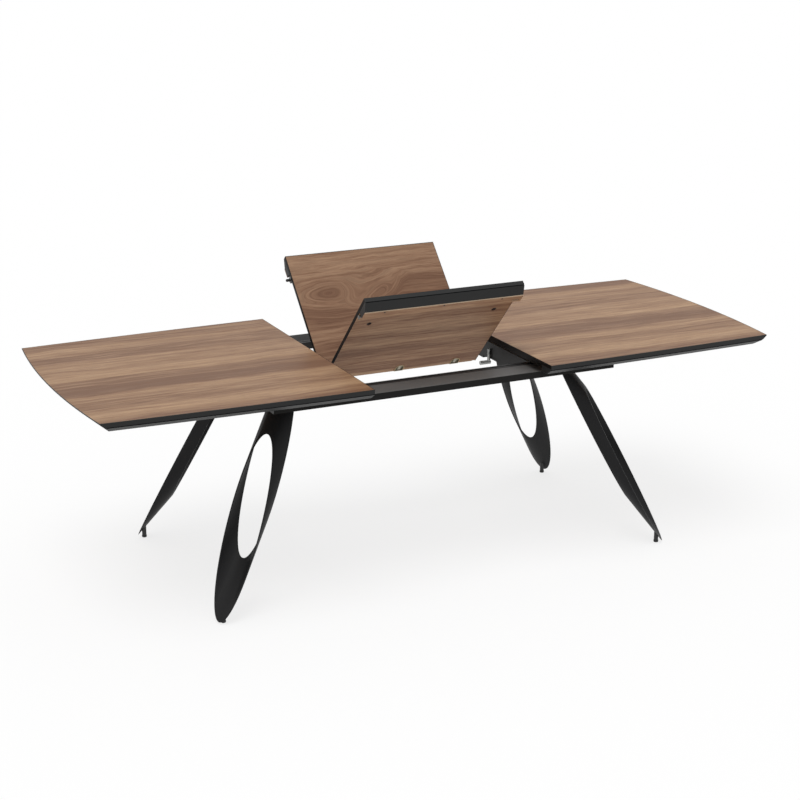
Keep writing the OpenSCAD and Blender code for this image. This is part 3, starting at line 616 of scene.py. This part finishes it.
for node in list(nodes):
    ending = [key for key in softEdges if node.endswith(key)]
    if not ending:
        continue
    piece = soften(copied(node), softEdges[ending[0]] * mm)
    if node.endswith("_moulding"):
        down = facingDown(node)
        lid = leaf["hingeZ"] if "_leaf_" in node else topZ
        # painted shade: the groove's faces are painted black for the shadow that falls in it
        for face in piece.faces:      # the groove between the face and the bevel is painted black
            depth = (face.calc_center_median() - Vector((0, 0, lid))).dot(down) / mm
            face.material_index = int(grooveShadePaint[0] < depth < grooveShadePaint[1] and abs(face.normal.x) < grooveAlong)
        addPiece(piece, node, [mouldingLacquer, grooveBlack])
    elif node.endswith("_leaf_strip"):
        outward = facingDown(node).cross(Vector((1, 0, 0))) * (1 if node.startswith("front") else -1)
        # outward faces get the pale core colour, partly a painted highlight along the strip's edge
        for face in piece.faces:
            face.material_index = int(face.normal.dot(outward) > stripCoreHighlightFacing)
        addPiece(piece, node, [finishOf(node), stripCore])
    elif node == "front_rail":
        # painted light on the front rail's top: its upward faces get the lit copy of the coat
        for face in piece.faces:
            face.material_index = int(face.normal.z > railTopPaintedLightTilt)
        addPiece(piece, node, [finishOf(node), railTopCoat])
    else:
        addPiece(piece, node)
for node in ("left_top_board", "right_top_board"):
    addPiece(soften(copied(node), boardEdge * mm, above=topZ - mm), node, [finishOf(node), mouldingLacquer])

endSlope = {      # mm, under the curved ends
    "lip": 3.0,
    "inset": 40.0,
    "depth": 37.5,
    "below": 45.0,      # the cutter reaches this far down
    "past": 5.0,        # and this far outside the edge
    "steps": 96,
    "beyond": 0.02,     # radians past the tips
    "tipBand": 0.1,     # corners this near to the outermost one in Y are the tip
}
slopeFacing = (-0.95, -0.2)      # heights of the normals of the cut faces of a board


def slopeCutter(sideName):      # all that lies outside the slope that runs in from the end's lip
    corners = [v.co for v in nodes[sideName + "_end_moulding"].data.vertices]
    reach = max(abs(co.x) for co in corners)
    tipY = max(co.y for co in corners)
    sag = reach - max(abs(co.x) for co in corners if co.y > tipY - endSlope["tipBand"] * mm)
    radius = (sag * sag + tipY * tipY) / (2 * sag)
    side = -1 if sideName == "left" else 1
    centre = (side * (reach - radius), 0, 0)
    lip, below, past = endSlope["lip"], endSlope["below"], endSlope["past"]
    run = endSlope["inset"] / (endSlope["depth"] - lip)
    spread = math.asin(tipY / radius) + endSlope["beyond"]
    start = Matrix.Translation(centre) @ Matrix.Rotation((math.pi if side < 0 else 0) - spread, 4, "Z")
    bm = bmesh.new()
    verts = [bm.verts.new(start @ Vector((radius - inset * mm, 0, topZ - depth * mm)))
             for inset, depth in ((-past, lip), (0, lip), ((below - lip) * run, below), (-past, below))]
    face = bm.faces.new(verts)
    bmesh.ops.spin(bm, geom=[face], cent=centre, axis=(0, 0, 1), angle=2 * spread, steps=endSlope["steps"])
    bmesh.ops.remove_doubles(bm, verts=bm.verts, dist=sameCorner)
    bmesh.ops.recalc_face_normals(bm, faces=bm.faces)
    obj = bpy.data.objects.new("slopeCutter", takenMesh(bm, "slopeCutter"))
    scene.collection.objects.link(obj)
    return obj


def cutAway(obj, cutter):
    cut = obj.modifiers.new("endSlope", "BOOLEAN")
    cut.operation = "DIFFERENCE"
    cut.solver = "EXACT"
    cut.use_hole_tolerant = True
    cut.object = cutter
    whole = obj.data
    obj.data = bpy.data.meshes.new_from_object(obj.evaluated_get(bpy.context.evaluated_depsgraph_get()))
    obj.modifiers.clear()
    bpy.data.meshes.remove(whole)


for sideName in ("left", "right"):
    cutter = slopeCutter(sideName)
    for part in ("_front_moulding", "_rear_moulding", "_end_moulding", "_top_board"):
        obj = bpy.data.objects[pieceName(sideName + part)]
        cutAway(obj, cutter)
        if part == "_top_board":
            for face in obj.data.polygons:      # the slope is lacquered like the mouldings
                face.material_index = int(slopeFacing[0] < face.normal.z < slopeFacing[1])
    bpy.data.meshes.remove(cutter.data)
print("boards, mouldings, frame and legs softened")


turnedLimit = math.radians(32)      # like softLimit, for what is turned
onRing = 0.00002                    # metres: corners this near to a radius are on it
recess = {"halfArm": 0.2, "waist": 0.42}      # a driver's cross: angle of half an arm, and radius between arms


def turned(profile, steps=24, socket=None, hexed=None):
    bm = bmesh.new()
    verts = [bm.verts.new((r * mm, 0, z * mm)) for r, z in profile]
    edges = [bm.edges.new(pair) for pair in zip(verts, verts[1:])]
    bmesh.ops.spin(bm, geom=verts + edges, cent=(0, 0, 0), axis=(0, 0, 1), angle=2 * math.pi, steps=steps,
                   use_merge=True)
    bmesh.ops.remove_doubles(bm, verts=bm.verts, dist=sameCorner)
    for vert in bm.verts:
        radius = math.hypot(vert.co.x, vert.co.y)
        angle = math.atan2(vert.co.y, vert.co.x)
        if socket and abs(radius - socket * mm) < onRing:       # a cross recess for a driver
            arm = min(angle % (math.pi / 2), -angle % (math.pi / 2))
            vert.co.xy *= 1.0 if arm < recess["halfArm"] else recess["waist"]
        if hexed and radius > hexed * mm - onRing:              # a hexagon across these corners
            flat = (angle % (math.pi / 3)) - math.pi / 6
            vert.co.xy *= math.cos(math.pi / 6) / math.cos(flat)
    bmesh.ops.recalc_face_normals(bm, faces=bm.faces)
    for face in bm.faces:
        face.smooth = True
    for edge in bm.edges:
        edge.smooth = len(edge.link_faces) == 2 and edge.calc_face_angle(0) < turnedLimit
    return bm


def solids(node):      # the corners of each loose solid of a node
    bm = copied(node)
    left = set(bm.verts)
    found = []
    while left:
        group = [left.pop()]
        for vert in group:
            for edge in vert.link_edges:
                other = edge.other_vert(vert)
                if other in left:
                    left.discard(other)
                    group.append(other)
        found.append(np.array([tuple(vert.co) for vert in group]))
    bm.free()
    return found


headWider = 0.0001      # metres: by less than this neither end counts as the wider one


def axisFrame(points, toward=None):      # a frame at the head's end of a round solid, with Z out of the head
    centre = points.mean(axis=0)
    size, axes = np.linalg.eigh(np.cov((points - centre).T))
    axis = axes[:, 2] if size[1] - size[0] < size[2] - size[1] else axes[:, 0]
    t = (points - centre) @ axis
    radius = np.linalg.norm(points - centre - np.outer(t, axis), axis=1)
    middle = (t.max() + t.min()) / 2
    flip = radius[t > middle].max() < radius[t < middle].max() - headWider
    if toward is not None:
        flip = axis @ np.array(toward) < 0
    if flip:
        axis, t = -axis, -t
    zAxis = Vector(axis)
    xAxis = zAxis.orthogonal().normalized()
    place = Matrix((xAxis, zAxis.cross(xAxis), zAxis)).transposed().to_4x4()
    place.translation = Vector(centre + axis * t.max())
    return place


def upright(points):      # a frame at the top of a solid that stands straight
    low, high = points.min(axis=0), points.max(axis=0)
    return Matrix.Translation(((low[0] + high[0]) / 2, (low[1] + high[1]) / 2, high[2]))


def placeCopies(node, template, toward=None, placing=None):
    mesh = takenMesh(template, "template")
    bm = bmesh.new()
    for points in solids(node):
        one = mesh.copy()
        one.transform(placing(points) if placing else axisFrame(points, toward))
        bm.from_mesh(one)
        bpy.data.meshes.remove(one)
    bpy.data.meshes.remove(mesh)
    addPiece(bm, node)


def panScrew(head, headH, shank, length):
    return turned([(0, -headH * 0.65), (head * 0.52, -headH * 0.45), (head * 0.55, -0.02), (head * 0.7, 0),
                   (head * 0.9, -headH * 0.3), (head, -headH * 0.75), (head, -headH), (shank, -headH),
                   (shank, -length + 1), (shank * 0.4, -length), (0, -length)], socket=head * 0.55)


def hexBolt(corner, headH, shank, length):
    return turned([(0, -0.3), (corner * 0.62, -0.3), (corner * 0.72, 0), (corner * 0.84, 0),
                   (corner, -0.9), (corner, -headH + 0.8), (corner * 0.86, -headH + 0.6),
                   (corner * 0.86, -headH), (shank, -headH), (shank, -length + 0.8),
                   (shank - 0.8, -length), (0, -length)], hexed=corner)


def ribbed(radius, length, pitch, depth, first, last):
    outline = [(0, -0.6), (radius * 0.45, -0.6), (radius * 0.55, 0), (radius - 0.8, 0), (radius, -0.8)]
    z = -first
    while z > -length + last:
        outline += [(radius, z), (radius - depth, z - pitch * 0.25), (radius - depth, z - pitch * 0.55),
                    (radius, z - pitch * 0.8)]
        z -= pitch
    return turned(outline + [(radius, -length), (0, -length)], steps=32)


screws = {      # radius and height of the head, radius of the shank, whole length, all in mm
    "left_top_screws": (4.0, 2.0, 2.0, 16.0),
    "right_top_screws": (4.0, 2.0, 2.0, 16.0),
    "front_leaf_screws": (3.0, 1.2, 2.0, 10.4),
    "rear_leaf_screws": (3.0, 1.2, 2.0, 10.4),
    "beam_screws": (4.0, 2.0, 2.0, 5.0),
}
bolts = {      # the same, with the radius across the corners, and the way the head looks
    "leg_bolts": ((5.5, 4.0, 3.0, 12.5), (0, 0, -1)),
    "beam_bolts": ((5.5, 4.0, 3.0, 7.0), None),
}
stops = {      # radius, length, pitch and depth of the ribs, plain stretch at the top and at the foot
    "peg": (7.5, 42.0, 3.0, 0.9, 3.0, 5.0),
    "stem": (6.0, 45.4, 2.4, 0.7, 8.0, 4.0),
}
outlines = {      # radius and height of each corner, from the end that shows
    "glideShoe": ((0, 0), (7.5, 0), (8.7, -0.8), (9, -1.8), (9, -6.2), (8.2, -8.0), (6.4, -9.0), (0, -9.0)),
    "leafPin": ((0, 0), (2.1, -0.4), (3.9, -1.6), (5.1, -3.4), (5.5, -5.5), (5.5, -8.5), (4.6, -9.2),
                (4.6, -10.4), (5.5, -11.1), (5.5, -36.0), (0, -36.0)),
    "leafInsert": ((0, -2.4), (3.2, -2.4), (3.2, -0.4), (5.6, 0.0), (6.2, 0.9), (7.4, 1.5), (8.6, 1.5),
                   (8.95, 1.0), (8.95, -3.9), (0, -3.9)),
}
for node, sizes in screws.items():
    placeCopies(node, panScrew(*sizes))
for node, (sizes, toward) in bolts.items():
    placeCopies(node, hexBolt(*sizes), toward=toward)
placeCopies("leaf_stop_pegs", ribbed(*stops["peg"]))
placeCopies("glide_shoes", turned(outlines["glideShoe"], steps=32), toward=(0, 0, 1))
placeCopies("rear_leaf_pin", turned(outlines["leafPin"], steps=32), toward=(-1, 0, 0))
for node in ("front_leaf_inserts", "rear_leaf_inserts"):
    placeCopies(node, turned(outlines["leafInsert"], steps=36), toward=tuple(facingDown(node)))
placeCopies("leaf_stop_stems", ribbed(*stops["stem"]), placing=upright)

cup = {      # mm, where nothing else is said
    "along": 17.0,          # from the hinge line
    "depth": -10.2,         # from the panel's top
    "arm": (11.0, 25.0, 3.0),
    "armRounding": 0.9,
    "rim": 2.2,
    "wall": 0.4,
    "bowl": 7.0,
    "mouthBand": 0.5,       # a face this near to the cup's end, looking down this much, is its mouth
    "mouthFacing": 0.99,
    "flangeFacing": 0.9,    # other faces that look down less than this are the cup's wall
    "armFacet": 0.00004,    # square metres: smaller faces of the arm belong to its rounding
    "screw": (3.4, 1.6, 1.6),
    "screwAhead": 4.0,
    "screwSink": 2.6,
}


def leafPlace(side):      # from a flat panel, its hinge line along X and its top at zero, to where it stands
    return Matrix.Translation((0, 0, leaf["hingeZ"])) @ Matrix.Rotation(side * leaf["fold"], 4, "X") \
        @ Matrix.Diagonal((1, side, 1, 1))


def hingeArm(x):
    bm = bmesh.new()
    bmesh.ops.create_cube(bm, size=1)
    bmesh.ops.scale(bm, vec=[v * mm for v in cup["arm"]], verts=bm.verts)
    bmesh.ops.bevel(bm, geom=bm.edges[:], offset=cup["armRounding"] * mm, offset_type="OFFSET", affect="EDGES",
                    segments=2, profile=0.5, material=-1)
    bmesh.ops.translate(bm, vec=(x, cup["along"] * mm, cup["depth"] * mm), verts=bm.verts)
    for face in bm.faces:
        face.smooth = len(face.verts) == 4 and face.calc_area() < cup["armFacet"]
        face.material_index = 1
    return takenMesh(bm, "hingeArm")


def cupScrew(x):
    bm = panScrew(*cup["screw"], cup["screwSink"])
    bmesh.ops.rotate(bm, cent=(0, 0, 0), matrix=Matrix.Rotation(math.pi, 3, "X"), verts=bm.verts)
    along, depth = cup["along"] + cup["screwAhead"], cup["depth"] - cup["screwSink"]
    bmesh.ops.translate(bm, vec=(x, along * mm, depth * mm), verts=bm.verts)
    for face in bm.faces:
        face.material_index = 1
    return takenMesh(bm, "cupScrew")


def buildHingeCups(node, side):
    down = leafDown(side)
    bm = copied(node)
    for face in bm.faces:
        face.smooth = False
        face.material_index = 0
    far = max(vert.co.dot(down) for vert in bm.verts)
    mouths = [face for face in bm.faces if face.normal.dot(down) > cup["mouthFacing"]
              and face.calc_center_median().dot(down) > far - cup["mouthBand"] * mm]
    bmesh.ops.inset_individual(bm, faces=mouths, thickness=cup["rim"] * mm, depth=0.0)
    bmesh.ops.inset_individual(bm, faces=mouths, thickness=cup["wall"] * mm, depth=-cup["bowl"] * mm)
    for face in mouths:
        face.material_index = 1
    for face in bm.faces:
        if face.material_index == 0 and face not in mouths and face.normal.dot(down) < cup["flangeFacing"]:
            face.material_index = 1
    for x in sorted({round(face.calc_center_median().x, 3) for face in mouths}):
        for part in (hingeArm(x), cupScrew(x)):
            part.transform(leafPlace(side))
            bm.from_mesh(part)
            bpy.data.meshes.remove(part)
    bmesh.ops.recalc_face_normals(bm, faces=bm.faces)
    addPiece(bm, node, [cupBrass, cupSteel])


buildHingeCups("front_hinge_cups", -1)
buildHingeCups("rear_hinge_cups", 1)
print("fasteners and fittings ready")

for name, obj in nodes.items():
    for place in obj.material_slots:
        place.material = finishOf(name)
print("carried nodes painted")
